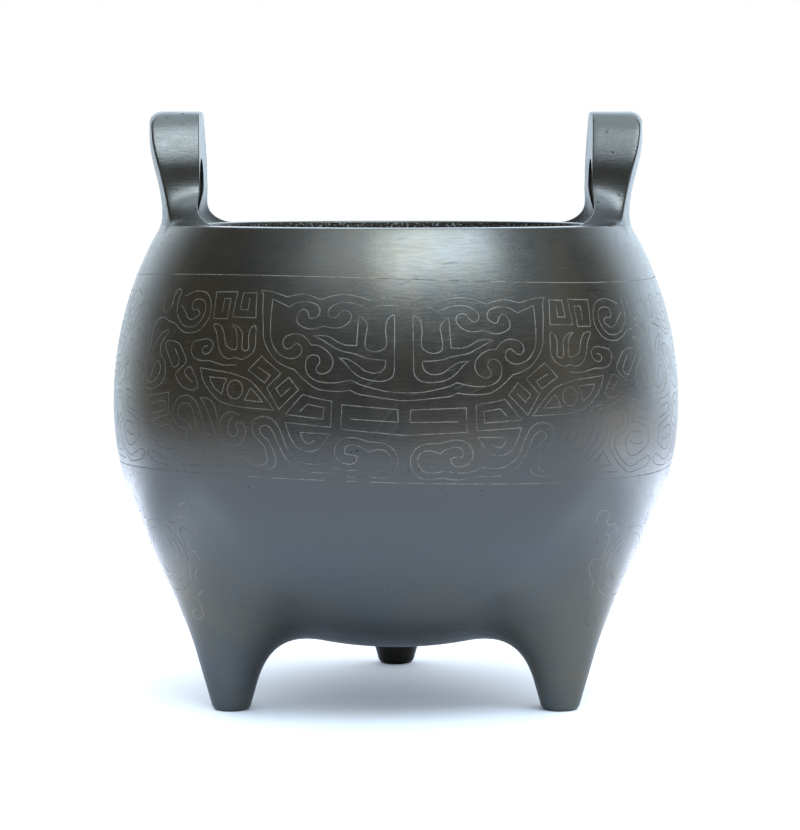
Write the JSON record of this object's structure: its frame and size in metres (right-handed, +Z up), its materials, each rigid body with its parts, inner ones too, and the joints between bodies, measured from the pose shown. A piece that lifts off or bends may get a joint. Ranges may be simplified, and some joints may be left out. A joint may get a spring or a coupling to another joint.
{
  "type": "tripod censer",
  "caption": "Round-bellied vessel on tapering feet, with upright loop ears on a thick rim and a band of inlaid wire ornament.",
  "frame": {"origin": "on the floor under the middle of the bowl", "axes": "+Z up, -Y to the front, +X to the right of someone who faces the front"},
  "size_m": [0.1945, 0.1946, 0.2015],
  "materials": {
    "patinated_bronze": "dark brown patina, rubbed to a satin shine",
    "silver_wire": "silver wire, rubbed flush and lightly tarnished"
  },
  "bodies": {
    "root": {"bowl": "patinated_bronze", "foot_front_left": "patinated_bronze", "foot_front_right": "patinated_bronze", "foot_back": "patinated_bronze", "ear_left": "patinated_bronze", "ear_right": "patinated_bronze", "border_wire_upper": "silver_wire", "border_wire_lower": "silver_wire", "mask_front_cartouche": "silver_wire", "mask_front_nose_bar": "silver_wire", "mask_front_eye_left": "silver_wire", "mask_front_pupil_left": "silver_wire", "mask_front_bridge_key_left": "silver_wire", "mask_front_eye_right": "silver_wire", "mask_front_pupil_right": "silver_wire", "mask_front_bridge_key_right": "silver_wire", "mask_back_right_cartouche": "silver_wire", "mask_back_right_nose_bar": "silver_wire", "mask_back_right_eye_left": "silver_wire", "mask_back_right_pupil_left": "silver_wire", "mask_back_right_bridge_key_left": "silver_wire", "mask_back_right_eye_right": "silver_wire", "mask_back_right_pupil_right": "silver_wire", "mask_back_right_bridge_key_right": "silver_wire", "mask_back_left_cartouche": "silver_wire", "mask_back_left_nose_bar": "silver_wire", "mask_back_left_eye_left": "silver_wire", "mask_back_left_pupil_left": "silver_wire", "mask_back_left_bridge_key_left": "silver_wire", "mask_back_left_eye_right": "silver_wire", "mask_back_left_pupil_right": "silver_wire", "mask_back_left_bridge_key_right": "silver_wire"}
  },
  "joints": []
}
